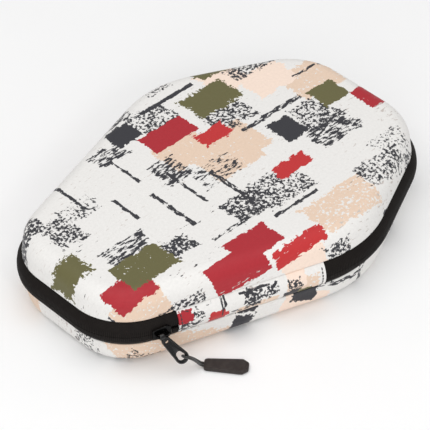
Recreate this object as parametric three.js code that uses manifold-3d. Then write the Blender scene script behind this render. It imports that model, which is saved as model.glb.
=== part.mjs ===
// A hard case for a table-tennis bat: two moulded shells, a zip round most of the rim,
// and a fabric spine with a crease at each edge that the lid folds back on.
// Millimetres, +Z up, +X from the handle end to the head end, the spine on the -Y side.
import * as THREE from 'three';
import { mergeVertices } from 'three/addons/utils/BufferGeometryUtils.js';
import Module from 'manifold-3d';

const wasm = await Module();
wasm.setup();

// ---- driving dimensions ----
const LENGTH = 300; // over the zip band
const HEIGHT = 61.6;
const HANDLE_HALF_WIDTH = 55.5; // half widths of the outline's six corners before rounding
const WIDEST_HALF_WIDTH = 116.5;
const HEAD_HALF_WIDTH = 59.5;
const WIDEST_X = 35.5;
const HANDLE_CORNER_RADIUS = 48;
const WIDEST_CORNER_RADIUS = 84;
const HEAD_CORNER_RADIUS = 56;
const SHELL_RIM_Z = 20.7; // top edge of the base shell; the lid's rim mirrors it
const RIM_INSET = 4.2; // how far the shell stands in from the zip band's outermost line
const WALL_FOOT_INSET = 5.3;
const FILLET_RADIUS = 12.2;
const SHELL_THICKNESS = 4;
const LINING_THICKNESS = 0.9;
const GAP = 0.3; // between pieces that touch
const BAND_BULGE = 4.9; // how far the zip band bows outward over its own height
const BINDING_SET_BACK = 3.1; // clears the spine strip's inner edge as it folds
const TAPE_THICKNESS = 1.2;
const SPINE_THICKNESS = 1.4;
const SPINE_START = 51; // along the front side, from its handle-end corner
const SPINE_END = 159.5;
const SPINE_LINING_INSET = 6.3;
const CHAIN_FAR_END = 163.6; // along the same side; the zip's chain stops short of the spine
const CHAIN_NEAR_END = 45.6;
const SLIDER_ALONG = 37.8;
const SPREAD_RAMP = 3; // the chain opens over this length at the slider
const SPREAD = 1.1; // and each side stands this far from the middle beyond it
const COIL_DEPTH = 2;
const COIL_HEIGHT = 2.1;
const COIL_CHAMFER = 0.5;
const STOP_DEPTH = 2;
const STOP_HEIGHT = 2.6;
const BINDING_THICKNESS = 1;
const BINDING_HEIGHT = 8;
const LINING_LEAN = 0.85; // the lining leans in towards the floor
const ELASTIC_THICKNESS = 1.3;
const POCKET_THICKNESS = 0.8;
const POCKET_FOOT_X = -128;
const POCKET_EDGE_X = -18; // the pocket's mouth
const POCKET_BULGE = 6;
const POCKET_SIDE_INSET = 19;
const POCKET_FOOT_HALF_WIDTH = 34;
const POCKET_FOOT_FLARE = 1.5; // half width gained along the pocket, up to the case's side
const POCKET_BAND_WIDTH = 11;
const STRAP_X = [-84, -54];
const STRAP_HALF_LENGTH = 46;
const STRAP_RISE = 2.4; // over the bat's handle
const PLATE_NEAR = 0.35; // the slider's outer plate, out from the band's outermost line
const PLATE_THICKNESS = 1.6;
const INNER_PLATE_BACK = 4.1; // the inner plate, behind that line
const BRIDGE_WIDTH = 1.6;
const BAR_OUT = 4.6; // the bridge bar that the tab swings on
const BAR_HALF_THICKNESS = 0.8;
const EYE_ALONG = -1.5; // the tab's eye sits towards the slider's tail
const EYE_RADIUS = 2.25;
const EYE_BORE_RADIUS = 1.35;
const EYE_WIDTH = 3.4;
const TAB_LEAN = THREE.MathUtils.degToRad(23.7);
const TAB_SKEW = THREE.MathUtils.degToRad(30.4);
const TAB_THICKNESS = 1.8;
const CORD_RADIUS = 0.9;
// the cord's knots from the grip, through the tab's slot and back, in the tab's own frame:
// across it, along it from the bar, and out of its face
const CORD_KNOTS = [
  [5.9, -38.5, -3.4], [5.3, -36.7, -3.3], [5, -34.2, -2], [4.4, -30, 0.3], [3.5, -26.4, 1.8],
  [2.4, -23.9, 2.15], [1.2, -21.9, 1.4], [0.8, -21.1, 0], [1.2, -21.9, -1.4], [2.4, -23.9, -2.2],
  [3.7, -26.7, -2.7], [5.1, -30.5, -3.7], [6, -34.2, -4.9], [6.6, -36.6, -5.5], [7.4, -38.4, -5.4],
];
const GRIP_START = [-94.9, -87.3];
const GRIP_ANGLE = THREE.MathUtils.degToRad(-49.4);
const ARC_STEP = THREE.MathUtils.degToRad(7.5);

const MID_Z = HEIGHT / 2;
const LID_RIM_Z = HEIGHT - SHELL_RIM_Z;
const BAND_HALF_HEIGHT = MID_Z - SHELL_RIM_Z;
const BAND_RADIUS = (BAND_HALF_HEIGHT ** 2 + BAND_BULGE ** 2) / (2 * BAND_BULGE);
const FLAT_INSET = WALL_FOOT_INSET + FILLET_RADIUS;

// ---- materials ----
function finish(colour, roughness, metalness = 0) {
  return new THREE.MeshStandardMaterial({ color: colour, roughness, metalness });
}

const PRINTED_SKIN = finish(0xece9e4, 0.55);
const LINING_CLOTH = finish(0x1d1d20, 0.95);
const ZIP_TAPE = finish(0x232021, 0.7);
const ZIP_COIL = finish(0x151415, 0.45);
const BINDING_TAPE = finish(0x1a191b, 0.85);
const ELASTIC = finish(0x151517, 0.85);
const POCKET_MESH = finish(0x26262a, 0.9);
const BLACK_METAL = finish(0x0f0f10, 0.3, 0.8);
const CORD_YARN = finish(0x161514, 0.8);
const GRIP_RUBBER = finish(0x2b2422, 0.6);

// ---- outline: straight sides and round corners, walked counter-clockwise from above ----
function makeOutline() {
  const front = [
    { x: -LENGTH / 2, y: -HANDLE_HALF_WIDTH, radius: HANDLE_CORNER_RADIUS },
    { x: WIDEST_X, y: -WIDEST_HALF_WIDTH, radius: WIDEST_CORNER_RADIUS },
    { x: LENGTH / 2, y: -HEAD_HALF_WIDTH, radius: HEAD_CORNER_RADIUS },
  ];
  const back = front.map(({ x, y, radius }) => ({ x, y: -y, radius })).reverse();
  const corners = [...front, ...back].map(({ x, y, radius }, i, all) => {
    const before = all.at(i - 1);
    const after = all[(i + 1) % all.length];
    const into = new THREE.Vector2(x - before.x, y - before.y).normalize();
    const away = new THREE.Vector2(after.x - x, after.y - y).normalize();
    const turn = Math.acos(into.dot(away));
    const tangent = radius * Math.tan(turn / 2);
    const start = new THREE.Vector2(x, y).addScaledVector(into, -tangent);
    const end = new THREE.Vector2(x, y).addScaledVector(away, tangent);
    const centre = start.clone().add(new THREE.Vector2(-into.y, into.x).multiplyScalar(radius));
    return { radius, turn, tangent, start, end, centre };
  });
  return corners.flatMap((corner, i) => {
    const next = corners[(i + 1) % corners.length];
    const line = { kind: 'line', from: corner.end, to: next.start };
    line.length = corner.end.distanceTo(next.start);
    const arc = { kind: 'arc', ...next, length: next.radius * next.turn };
    return [line, arc];
  });
}

const OUTLINE = makeOutline();
const PERIMETER = OUTLINE.reduce((sum, piece) => sum + piece.length, 0);
const FIRST_TANGENT = OUTLINE.at(-1).tangent; // the front side's straight starts this far along it

// A place on the outline: where it is and which way is out, at a distance round it.
function placeAt(distance) {
  let rest = THREE.MathUtils.euclideanModulo(distance, PERIMETER);
  const piece = OUTLINE.find((each) => {
    const here = rest <= each.length + 1e-9;
    rest -= here ? 0 : each.length;
    return here;
  });
  if (piece.kind === 'line') {
    const way = piece.to.clone().sub(piece.from).normalize();
    const at = piece.from.clone().addScaledVector(way, rest);
    return { x: at.x, y: at.y, outX: way.y, outY: -way.x, distance };
  }
  const first = piece.start.clone().sub(piece.centre).angle();
  const angle = first + rest / piece.radius;
  const outX = Math.cos(angle);
  const outY = Math.sin(angle);
  const x = piece.centre.x + piece.radius * outX;
  const y = piece.centre.y + piece.radius * outY;
  return { x, y, outX, outY, distance };
}

// The distances at which the outline bends: the ends of each straight and steps round each arc.
function bendDistances() {
  const found = [];
  let total = 0;
  for (const piece of OUTLINE) {
    const steps = piece.kind === 'line' ? 1 : Math.ceil(piece.turn / ARC_STEP);
    for (let i = 0; i < steps; i += 1) {
      found.push(total + (piece.length * i) / steps);
    }
    total += piece.length;
  }
  return found;
}

const ALL_ROUND = bendDistances().map(placeAt);

function along(distance) {
  return distance - FIRST_TANGENT;
}

// Places from one distance to another, with extra ones wherever the section changes.
function placesBetween(from, to, extra = []) {
  const laps = [0, PERIMETER].flatMap((lap) => bendDistances().map((d) => d + lap));
  const inside = [...laps, ...extra].filter((d) => d > from + 0.2 && d < to - 0.2);
  return [from, ...inside.sort((a, b) => a - b), to].map(placeAt);
}

// ---- solids from rings of points ----
function closedSolid(points, triangles) {
  let volume = 0;
  for (const [a, b, c] of triangles) {
    volume += points[a].dot(points[b].clone().cross(points[c]));
  }
  const wound = volume > 0 ? triangles : triangles.map(([a, b, c]) => [a, c, b]);
  const geometry = new THREE.BufferGeometry();
  geometry.setAttribute('position', new THREE.Float32BufferAttribute(points.flatMap((p) => [...p]), 3));
  geometry.setIndex(wound.flat());
  geometry.computeVertexNormals();
  return geometry;
}

function ringPoints(places, section) {
  return places.flatMap((place) => section(place.distance).map(([inset, z]) => (
    new THREE.Vector3(place.x - place.outX * inset, place.y - place.outY * inset, z))));
}

function quad(a, b, c, d) {
  return [[a, b, c], [a, c, d]];
}

// A section of [inset, z] points carried round a whole lap, or from one end to the other.
function sweep(places, section, isLap) {
  const points = ringPoints(places, section);
  const size = section(places[0].distance).length;
  const triangles = [];
  const spans = isLap ? places.length : places.length - 1;
  for (let i = 0; i < spans; i += 1) {
    const here = i * size;
    const there = ((i + 1) % places.length) * size;
    for (let j = 0; j < size; j += 1) {
      const k = (j + 1) % size;
      triangles.push(...quad(here + j, there + j, there + k, here + k));
    }
  }
  if (!isLap) {
    const last = (places.length - 1) * size;
    const outline = section(places[0].distance).map(([inset, z]) => new THREE.Vector2(inset, z));
    const isTurned = THREE.ShapeUtils.isClockWise(outline);
    for (const [a, b, c] of THREE.ShapeUtils.triangulateShape(outline, [])) {
      const [second, third] = isTurned ? [c, b] : [b, c];
      triangles.push([a, second, third], [last + a, last + third, last + second]);
    }
  }
  return closedSolid(points, triangles);
}

// A tray: an outer and an inner section from the rim to the flat, both flats closed.
function tray(outer, inner) {
  const section = [...outer, ...[...inner].reverse()];
  const points = ringPoints(ALL_ROUND, () => section);
  const size = section.length;
  const count = ALL_ROUND.length;
  const triangles = [];
  for (let i = 0; i < count; i += 1) {
    const here = i * size;
    const there = ((i + 1) % count) * size;
    for (let j = 0; j < size; j += 1) {
      const k = (j + 1) % size;
      if (j !== outer.length - 1) {
        triangles.push(...quad(here + j, there + j, there + k, here + k));
      }
    }
  }
  for (let i = 1; i < count - 1; i += 1) {
    const flatOutside = outer.length - 1;
    const flatInside = outer.length;
    triangles.push([flatOutside, i * size + flatOutside, (i + 1) * size + flatOutside]);
    triangles.push([flatInside, (i + 1) * size + flatInside, i * size + flatInside]);
  }
  return closedSolid(points, triangles);
}

// The base's wall from rim to floor, moved in by a thickness.
function wallSection(inward) {
  const radius = FILLET_RADIUS - inward;
  const fillet = [0, 22.5, 45, 67.5, 90].map((degrees) => {
    const angle = THREE.MathUtils.degToRad(degrees);
    return [FLAT_INSET - radius * Math.cos(angle), FILLET_RADIUS - radius * Math.sin(angle)];
  });
  return [[RIM_INSET + inward, SHELL_RIM_Z], ...fillet];
}

function lidOf(section) {
  return section.map(([inset, z]) => [inset, HEIGHT - z]);
}

// The bowed band's inset at a height, on its outer face or a depth behind it.
function bandInset(z, depth = 0) {
  const radius = BAND_RADIUS - depth;
  return BAND_RADIUS - Math.sqrt(radius ** 2 - (z - MID_Z) ** 2);
}

function bandFace(from, to, steps, depth = 0) {
  return Array.from({ length: steps + 1 }, (_, i) => {
    const z = from + ((to - from) * i) / steps;
    return [bandInset(z, depth), z];
  });
}

function named(name, geometry, material) {
  const mesh = new THREE.Mesh(geometry, material);
  mesh.name = name;
  return mesh;
}

// ---- booleans ----
function toManifold(geometry) {
  const bare = geometry.clone();
  bare.deleteAttribute('normal');
  bare.deleteAttribute('uv');
  const merged = mergeVertices(bare, 1e-4);
  const vertProperties = new Float32Array(merged.attributes.position.array);
  const triVerts = new Uint32Array(merged.index.array);
  return new wasm.Manifold(new wasm.Mesh({ numProp: 3, vertProperties, triVerts }));
}

function fromManifold(solid) {
  const mesh = solid.getMesh();
  const geometry = new THREE.BufferGeometry();
  geometry.setAttribute('position', new THREE.BufferAttribute(mesh.vertProperties, 3));
  geometry.setIndex(new THREE.BufferAttribute(mesh.triVerts, 1));
  return geometry;
}

function joined(...geometries) {
  return fromManifold(geometries.map(toManifold).reduce((whole, solid) => whole.add(solid)));
}

// ---- shells and linings ----
const shellOutside = wallSection(0);
const shellInside = wallSection(SHELL_THICKNESS);
const liningOutside = wallSection(SHELL_THICKNESS + GAP);
const liningInside = wallSection(SHELL_THICKNESS + GAP + LINING_THICKNESS);

function makeShells() {
  return [
    named('base_shell', tray(shellOutside, shellInside), PRINTED_SKIN),
    named('base_lining', tray(liningOutside, liningInside), LINING_CLOTH),
    named('lid_shell', tray(lidOf(shellOutside), lidOf(shellInside)), PRINTED_SKIN),
    named('lid_lining', tray(lidOf(liningOutside), lidOf(liningInside)), LINING_CLOTH),
  ];
}

// ---- zip: two tapes, a coil behind each, and the stops at their ends ----
const ZIP_START = along(SPINE_END + GAP);
const ZIP_END = PERIMETER + along(SPINE_START - GAP);
const CHAIN_START = along(CHAIN_FAR_END);
const CHAIN_END = PERIMETER + along(CHAIN_NEAR_END);
const SLIDER_DISTANCE = PERIMETER + along(SLIDER_ALONG);

// How far each half of the zip stands from the middle line: close together where it is
// done up, and apart from the slider's wedge to the end.
function halfGap(distance) {
  const past = THREE.MathUtils.clamp((distance - SLIDER_DISTANCE) / SPREAD_RAMP, 0, 1);
  return GAP / 2 + SPREAD * past;
}

const OPENING = [SLIDER_DISTANCE, SLIDER_DISTANCE + SPREAD_RAMP];

function lowerTape(distance) {
  const top = MID_Z - halfGap(distance);
  const foot = SHELL_RIM_Z + GAP;
  const flangeTop = foot + TAPE_THICKNESS;
  const flangeInset = RIM_INSET + SHELL_THICKNESS;
  const outside = bandFace(top, foot, 4);
  const inside = bandFace(flangeTop, top, 4, TAPE_THICKNESS);
  return [...outside, [flangeInset, foot], [flangeInset, flangeTop], ...inside];
}

const COIL_FACE = TAPE_THICKNESS + GAP + 0.15;
const STOP_FACE = bandInset(MID_Z - 4, TAPE_THICKNESS) + GAP;

function lowerCoil(distance) {
  const top = MID_Z - halfGap(distance);
  const foot = top - COIL_HEIGHT;
  const back = COIL_FACE + COIL_DEPTH;
  return [
    [COIL_FACE, top], [COIL_FACE, foot + COIL_CHAMFER], [COIL_FACE + COIL_CHAMFER, foot],
    [back - COIL_CHAMFER, foot], [back, foot + COIL_CHAMFER], [back, top],
  ];
}

function stopSection(top, bottom) {
  const back = STOP_FACE + STOP_DEPTH;
  return [[STOP_FACE, top], [STOP_FACE, bottom], [back, bottom], [back, top]];
}

function lowerStop(distance) {
  const top = MID_Z - halfGap(distance);
  return stopSection(top, top - STOP_HEIGHT);
}

function endStop() {
  return stopSection(MID_Z + STOP_HEIGHT, MID_Z - STOP_HEIGHT);
}

function mirrored(section) {
  return (distance) => lidOf(section(distance));
}

function makeZip() {
  const tapeRun = placesBetween(ZIP_START, ZIP_END, OPENING);
  const coilRun = placesBetween(CHAIN_START, CHAIN_END, OPENING);
  const stopRun = placesBetween(CHAIN_END + GAP, CHAIN_END + 2.8);
  const endRun = placesBetween(CHAIN_START - 3, CHAIN_START - GAP);
  return [
    named('lower_zip_tape', sweep(tapeRun, lowerTape), ZIP_TAPE),
    named('upper_zip_tape', sweep(tapeRun, mirrored(lowerTape)), ZIP_TAPE),
    named('lower_zip_coil', sweep(coilRun, lowerCoil), ZIP_COIL),
    named('upper_zip_coil', sweep(coilRun, mirrored(lowerCoil)), ZIP_COIL),
    named('lower_zip_stop', sweep(stopRun, lowerStop), BLACK_METAL),
    named('upper_zip_stop', sweep(stopRun, mirrored(lowerStop)), BLACK_METAL),
    named('zip_end_stop', sweep(endRun, endStop), BLACK_METAL),
  ];
}

// ---- binding tape sewn over each lining's edge ----
function bindingSection() {
  const face = RIM_INSET + SHELL_THICKNESS + LINING_THICKNESS + 2 * GAP;
  const lip = SHELL_RIM_Z + TAPE_THICKNESS + 2 * GAP;
  const foot = lip - BINDING_HEIGHT;
  return [
    [face, lip],
    [face + LINING_LEAN, foot],
    [face + LINING_LEAN + BINDING_THICKNESS, foot],
    [face + BINDING_THICKNESS, lip + BINDING_THICKNESS],
    [RIM_INSET + BINDING_SET_BACK, lip + BINDING_THICKNESS],
    [RIM_INSET + BINDING_SET_BACK, lip],
  ];
}

function makeBindings() {
  return [
    named('base_binding', sweep(ALL_ROUND, bindingSection, true), BINDING_TAPE),
    named('lid_binding', sweep(ALL_ROUND, mirrored(bindingSection), true), BINDING_TAPE),
  ];
}

// ---- spine ----
function spineSection() {
  const low = SHELL_RIM_Z + GAP;
  return [...bandFace(low, HEIGHT - low, 8), ...bandFace(HEIGHT - low, low, 8, SPINE_THICKNESS)];
}

function spineLiningSection() {
  const low = SHELL_RIM_Z + 3.8; // clear of the creases
  const face = SPINE_LINING_INSET;
  const back = face + LINING_THICKNESS;
  return [[face, low], [face, HEIGHT - low], [back, HEIGHT - low], [back, low]];
}

function makeSpine() {
  const run = placesBetween(along(SPINE_START), along(SPINE_END));
  return [
    named('spine_strip', sweep(run, spineSection), PRINTED_SKIN),
    named('spine_lining', sweep(run, spineLiningSection), LINING_CLOTH),
  ];
}

// ---- inside: an elastic strap over the handle, a mesh pocket in the lid ----
const HALF_WIDTH_SLOPE = (WIDEST_HALF_WIDTH - HANDLE_HALF_WIDTH) / (WIDEST_X + LENGTH / 2);

function halfWidth(x, inset) {
  const side = HANDLE_HALF_WIDTH + (x + LENGTH / 2) * HALF_WIDTH_SLOPE;
  return side - inset * Math.hypot(1, HALF_WIDTH_SLOPE);
}

// A thin panel lying across the case: rows along X, columns from side to side.
function panel(rows, columns, halfWidthAt, heightAt, thickness) {
  const points = [0, thickness].flatMap((lift) => rows.flatMap((x) => (
    Array.from({ length: columns + 1 }, (_, j) => {
      const across = (2 * j) / columns - 1;
      return new THREE.Vector3(x, across * halfWidthAt(x), heightAt(x, across) + lift);
    }))));
  const width = columns + 1;
  const layer = rows.length * width;
  const triangles = [];
  for (let i = 0; i < rows.length - 1; i += 1) {
    for (let j = 0; j < columns; j += 1) {
      const a = i * width + j;
      triangles.push(...quad(a, a + 1, a + width + 1, a + width));
      triangles.push(...quad(a + layer, a + width + layer, a + width + 1 + layer, a + 1 + layer));
    }
  }
  const last = (rows.length - 1) * width;
  const rim = [
    ...Array.from({ length: columns }, (_, j) => j),
    ...Array.from({ length: rows.length - 1 }, (_, i) => i * width + columns),
    ...Array.from({ length: columns }, (_, j) => last + columns - j),
    ...Array.from({ length: rows.length - 1 }, (_, i) => last - i * width),
  ];
  rim.forEach((a, i) => {
    const b = rim[(i + 1) % rim.length];
    triangles.push(...quad(a, a + layer, b + layer, b));
  });
  return closedSolid(points, triangles);
}

const FLOOR_Z = SHELL_THICKNESS + GAP + LINING_THICKNESS;

function pocketHeight(x, across) {
  const depth = THREE.MathUtils.clamp((x - POCKET_FOOT_X) / 60, 0, 1);
  return HEIGHT - FLOOR_Z - GAP - 1.4 - POCKET_BULGE * depth * (1 - across ** 2);
}

function makePocket() {
  const rows = [POCKET_FOOT_X, -118, -103, -85, -67, -43, POCKET_EDGE_X];
  const bandRows = [POCKET_EDGE_X + GAP, POCKET_EDGE_X + POCKET_BAND_WIDTH];
  const bandHalf = (x) => halfWidth(x, POCKET_SIDE_INSET);
  const pocketHalf = (x) => {
    const flared = POCKET_FOOT_HALF_WIDTH + (x - POCKET_FOOT_X) * POCKET_FOOT_FLARE;
    return Math.min(bandHalf(x), flared);
  };
  const pocket = panel(rows, 10, pocketHalf, pocketHeight, POCKET_THICKNESS);
  const band = panel(bandRows, 10, bandHalf, pocketHeight, ELASTIC_THICKNESS);
  return [named('mesh_pocket', pocket, POCKET_MESH), named('mesh_pocket_band', band, ELASTIC)];
}

function makeStrap() {
  const strapHalf = () => STRAP_HALF_LENGTH;
  const strapHeight = (x, across) => FLOOR_Z + GAP + STRAP_RISE * (1 - Math.abs(across) ** 3);
  const strap = panel(STRAP_X, 12, strapHalf, strapHeight, ELASTIC_THICKNESS);
  return named('handle_strap', strap, ELASTIC);
}

// ---- slider and pull tab ----
function sliderPlate(scale) {
  const shape = new THREE.Shape();
  shape.moveTo(-6.4 * scale, -3.6 * scale);
  shape.lineTo(2.4 * scale, -5.2 * scale);
  shape.absarc(2.6 * scale, -1.4 * scale, 3.8 * scale, -Math.PI / 2, 0);
  shape.absarc(2.6 * scale, 1.4 * scale, 3.8 * scale, 0, Math.PI / 2);
  shape.lineTo(-6.4 * scale, 3.6 * scale);
  return new THREE.ExtrudeGeometry(shape, {
    depth: PLATE_THICKNESS - 0.6, curveSegments: 5, bevelThickness: 0.3, bevelSize: 0.3, bevelSegments: 1,
  }).translate(0, 0, 0.3);
}

function sliderBody() {
  const outer = sliderPlate(1).translate(0, 0, PLATE_NEAR);
  const inner = sliderPlate(0.86).translate(0, 0, -PLATE_THICKNESS - INNER_PLATE_BACK);
  const wedge = new THREE.BoxGeometry(2.2, 1.4, 6).translate(4.9, 0, -1.9);
  return joined(outer, inner, wedge);
}

function sliderBridge() {
  const top = BAR_OUT + BAR_HALF_THICKNESS;
  const underside = BAR_OUT - BAR_HALF_THICKNESS;
  const foot = PLATE_NEAR + PLATE_THICKNESS + GAP;
  const shape = new THREE.Shape([
    new THREE.Vector2(-4.8, foot), new THREE.Vector2(-3.5, foot), new THREE.Vector2(-3.5, underside),
    new THREE.Vector2(2.9, underside), new THREE.Vector2(2.9, foot), new THREE.Vector2(4.2, foot),
    new THREE.Vector2(4.2, top - 1), new THREE.Vector2(3.2, top), new THREE.Vector2(-3.8, top),
    new THREE.Vector2(-4.8, top - 1),
  ]);
  const arch = new THREE.ExtrudeGeometry(shape, { depth: BRIDGE_WIDTH, bevelEnabled: false });
  return arch.translate(0, 0, -BRIDGE_WIDTH / 2).rotateX(Math.PI / 2);
}

// two circles, one above the other, and the straight lines that touch both
function taperedShape(Kind, high, highRadius, low, lowRadius) {
  const slope = Math.asin((lowRadius - highRadius) / (high - low));
  const shape = new Kind();
  shape.absarc(0, high, highRadius, slope, Math.PI - slope, false);
  shape.absarc(0, low, lowRadius, Math.PI - slope, 2 * Math.PI + slope, false);
  return shape;
}

function pullTab() {
  const shape = taperedShape(THREE.Shape, -4.6, 3.2, -21.2, 4.7);
  const window = new THREE.Path();
  window.absarc(0, -5, 1.2, 0, 2 * Math.PI, true);
  shape.holes.push(window, taperedShape(THREE.Path, -18, 2.2, -20.7, 2.7));
  const settings = { depth: TAB_THICKNESS, curveSegments: 8, bevelEnabled: false };
  const plate = new THREE.ExtrudeGeometry(shape, settings).translate(0, 0, -TAB_THICKNESS / 2);
  const neck = new THREE.BoxGeometry(2.4, 3.4, TAB_THICKNESS).translate(0, -3.2, 0);
  const blade = joined(plate, neck).rotateZ(TAB_SKEW);
  const eye = new THREE.CylinderGeometry(EYE_RADIUS, EYE_RADIUS, EYE_WIDTH, 16).rotateZ(Math.PI / 2);
  const bore = new THREE.CylinderGeometry(EYE_BORE_RADIUS, EYE_BORE_RADIUS, 20, 16).rotateZ(Math.PI / 2);
  return fromManifold(toManifold(joined(blade, eye)).subtract(toManifold(bore)));
}

// ---- frames: the slider's has +X along its run and +Z outwards, the tab's adds its lean ----
function sliderFrame() {
  const place = placeAt(along(SLIDER_ALONG));
  const way = new THREE.Vector3(-place.outY, place.outX, 0);
  const out = new THREE.Vector3(place.outX, place.outY, 0);
  const frame = new THREE.Matrix4().makeBasis(way, new THREE.Vector3(0, 0, 1), out);
  return frame.setPosition(place.x, place.y, MID_Z);
}

function tabFrame() {
  const hung = new THREE.Matrix4().makeTranslation(EYE_ALONG, 0, BAR_OUT);
  return sliderFrame().multiply(hung).multiply(new THREE.Matrix4().makeRotationX(-TAB_LEAN));
}

function makeSlider() {
  return [
    named('slider_body', sliderBody().applyMatrix4(sliderFrame()), BLACK_METAL),
    named('slider_bridge', sliderBridge().applyMatrix4(sliderFrame()), BLACK_METAL),
    named('pull_tab', pullTab().applyMatrix4(tabFrame()), BLACK_METAL),
  ];
}

// ---- cord loop through the tab's slot, and the rubber grip on its ends ----
function makeCord() {
  const frame = tabFrame().multiply(new THREE.Matrix4().makeRotationZ(TAB_SKEW));
  const knots = CORD_KNOTS.map((knot) => new THREE.Vector3(...knot).applyMatrix4(frame));
  const path = new THREE.CatmullRomCurve3(knots);
  const round = new THREE.Shape();
  round.absarc(0, 0, CORD_RADIUS, 0, 2 * Math.PI);
  const tube = new THREE.ExtrudeGeometry(round, { steps: 40, curveSegments: 4, extrudePath: path });
  tube.deleteAttribute('normal');
  tube.deleteAttribute('uv');
  return named('pull_cord', mergeVertices(tube, 1e-4), CORD_YARN);
}

function makeGrip() {
  const outline = [
    [0.4, -3], [0.4, 3], [1.8, 4.3], [25.8, 5.8], [29.3, 3], [29.3, -3], [25.8, -5.8], [1.8, -4.3],
  ];
  const shape = new THREE.Shape(outline.map(([x, y]) => new THREE.Vector2(x, y)));
  const body = new THREE.ExtrudeGeometry(shape, {
    depth: 2.2, bevelThickness: 0.6, bevelSize: 0.4, bevelSegments: 1,
  });
  const grip = named('pull_grip', body, GRIP_RUBBER);
  grip.position.set(GRIP_START[0], GRIP_START[1], 0.6);
  grip.rotation.z = GRIP_ANGLE;
  return grip;
}

const group = new THREE.Group();
group.add(...makeShells(), ...makeZip(), ...makeBindings(), ...makeSpine());
group.add(...makePocket(), makeStrap(), ...makeSlider(), makeCord(), makeGrip());

export default group;
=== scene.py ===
"""Looks for the paddle case: a printed, moulded hard case with a zip, a fabric spine and a pull."""

import math
import random

import bmesh
import bpy
from mathutils import Matrix, Vector


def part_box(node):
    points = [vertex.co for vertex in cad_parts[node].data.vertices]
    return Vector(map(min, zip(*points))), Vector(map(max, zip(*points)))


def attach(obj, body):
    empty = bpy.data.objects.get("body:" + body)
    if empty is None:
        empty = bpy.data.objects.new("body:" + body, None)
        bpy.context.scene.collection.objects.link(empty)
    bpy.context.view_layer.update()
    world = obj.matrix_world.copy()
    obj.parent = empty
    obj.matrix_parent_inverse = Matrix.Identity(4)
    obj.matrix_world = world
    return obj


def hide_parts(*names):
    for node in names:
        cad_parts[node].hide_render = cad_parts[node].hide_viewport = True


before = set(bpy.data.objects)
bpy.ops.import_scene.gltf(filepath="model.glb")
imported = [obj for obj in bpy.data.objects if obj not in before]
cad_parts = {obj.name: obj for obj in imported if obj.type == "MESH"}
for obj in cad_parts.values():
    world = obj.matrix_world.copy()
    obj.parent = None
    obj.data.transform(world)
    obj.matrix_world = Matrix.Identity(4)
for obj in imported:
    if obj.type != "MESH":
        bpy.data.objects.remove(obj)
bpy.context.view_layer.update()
MM = 0.001

# ---- dimensions, in millimetres, as in the CAD ----
LENGTH = 300
HANDLE_HALF_WIDTH = 55.5
WIDEST_HALF_WIDTH = 116.5
HEAD_HALF_WIDTH = 59.5
WIDEST_X = 35.5
HANDLE_CORNER_RADIUS = 48
WIDEST_CORNER_RADIUS = 84
HEAD_CORNER_RADIUS = 56
RIM_INSET = 4.2
WALL_FOOT_INSET = 5.3
FILLET_RADIUS = 12.2
SHELL_THICKNESS = 4
LINING_THICKNESS = 0.9
GAP = 0.3
BAND_BULGE = 4.9
BINDING_SET_BACK = 3.1
BINDING_HEIGHT = 8
LINING_LEAN = 0.85
TAPE_THICKNESS = 1.2
SPINE_THICKNESS = 1.4
SPINE_START = 51
SPINE_END = 159.5
SPINE_LINING_INSET = 6.3
CHAIN_FAR_END = 163.6
CHAIN_NEAR_END = 45.6
SLIDER_ALONG = 37.8
SPREAD_RAMP = 3
SPREAD = 1.1
ELASTIC_THICKNESS = 1.3
POCKET_THICKNESS = 0.8
POCKET_FOOT_X = -128
POCKET_EDGE_X = -18
POCKET_BULGE = 6
POCKET_SIDE_INSET = 19
POCKET_FOOT_HALF_WIDTH = 34
POCKET_FOOT_FLARE = 1.5
POCKET_BAND_WIDTH = 11
STRAP_X = (-84, -54)
STRAP_HALF_LENGTH = 46
STRAP_RISE = 2.4
BAR_OUT = 4.6
EYE_ALONG = -1.5
EYE_RADIUS = 2.25
EYE_BORE_RADIUS = 1.35
EYE_WIDTH = 3.4
TAB_THICKNESS = 1.8
TAB_LEAN = math.radians(23.7)
TAB_SKEW = math.radians(30.4)
CORD_RADIUS = 0.9
CORD_KNOTS = [
    (5.9, -38.5, -3.4), (5.3, -36.7, -3.3), (5, -34.2, -2), (4.4, -30, 0.3), (3.5, -26.4, 1.8),
    (2.4, -23.9, 2.15), (1.2, -21.9, 1.4), (0.8, -21.1, 0), (1.2, -21.9, -1.4), (2.4, -23.9, -2.2),
    (3.7, -26.7, -2.7), (5.1, -30.5, -3.7), (6, -34.2, -4.9), (6.6, -36.6, -5.5), (7.4, -38.4, -5.4),
]
GRIP_START = Vector((-94.9, -87.3, 0))
GRIP_ANGLE = math.radians(-49.4)

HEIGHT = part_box("lid_shell")[1][2] / MM
SHELL_RIM_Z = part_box("base_shell")[1][2] / MM
MID_Z = HEIGHT / 2
BAND_HALF_HEIGHT = MID_Z - SHELL_RIM_Z
BAND_RADIUS = (BAND_HALF_HEIGHT**2 + BAND_BULGE**2) / (2 * BAND_BULGE)
FLAT_INSET = WALL_FOOT_INSET + FILLET_RADIUS
FLOOR_Z = SHELL_THICKNESS + GAP + LINING_THICKNESS

# ---- dimensions of the finish, in millimetres ----
ARC_STEP = math.radians(2.5)
HEM = 1.7
STITCH_PITCH = 2.5
COIL_PITCH = 1.8
WIRE_RADIUS = 0.42
TURN_POINTS = 10
WIRE_SIDES = 5


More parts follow.
